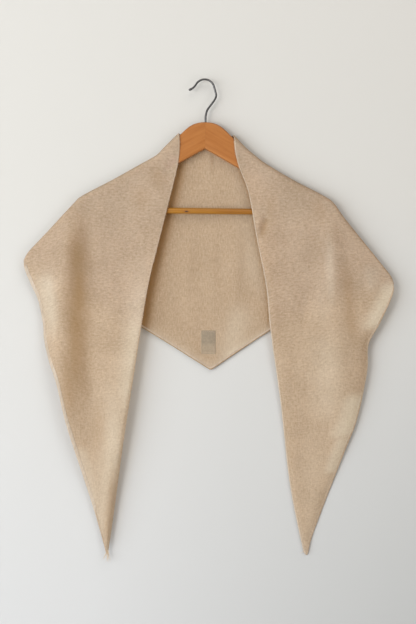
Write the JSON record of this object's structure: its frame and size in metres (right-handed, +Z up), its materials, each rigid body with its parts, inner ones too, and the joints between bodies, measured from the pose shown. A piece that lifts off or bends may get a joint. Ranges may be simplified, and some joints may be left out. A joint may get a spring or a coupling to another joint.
{
  "type": "pashmina shawl on a hanger",
  "caption": "Plain cream triangular pashmina shawl draped over a wooden hanger with a trouser bar: its ends fall in front, its middle corner behind.",
  "frame": {"origin": "inside of the hook's crown, the point that the whole part hangs from", "axes": "+Z up, -Y out of the front of the shawl, +X to the viewer's right"},
  "size_m": [0.6549, 0.0302, 0.8453],
  "materials": {
    "pashmina": "soft matt wool with a faint nap",
    "label_weave": "matt woven tape",
    "hanger_wood": "satin varnish",
    "bar_wood": "satin varnish",
    "hook_steel": "dark satin"
  },
  "bodies": {
    "root": {"shawl_left_front": "pashmina", "shawl_right_front": "pashmina", "shawl_back": "pashmina", "label": "label_weave", "hanger_arm_left": "hanger_wood", "hanger_arm_right": "hanger_wood", "hanger_bar": "bar_wood", "hanger_hook": "hook_steel"}
  },
  "joints": []
}
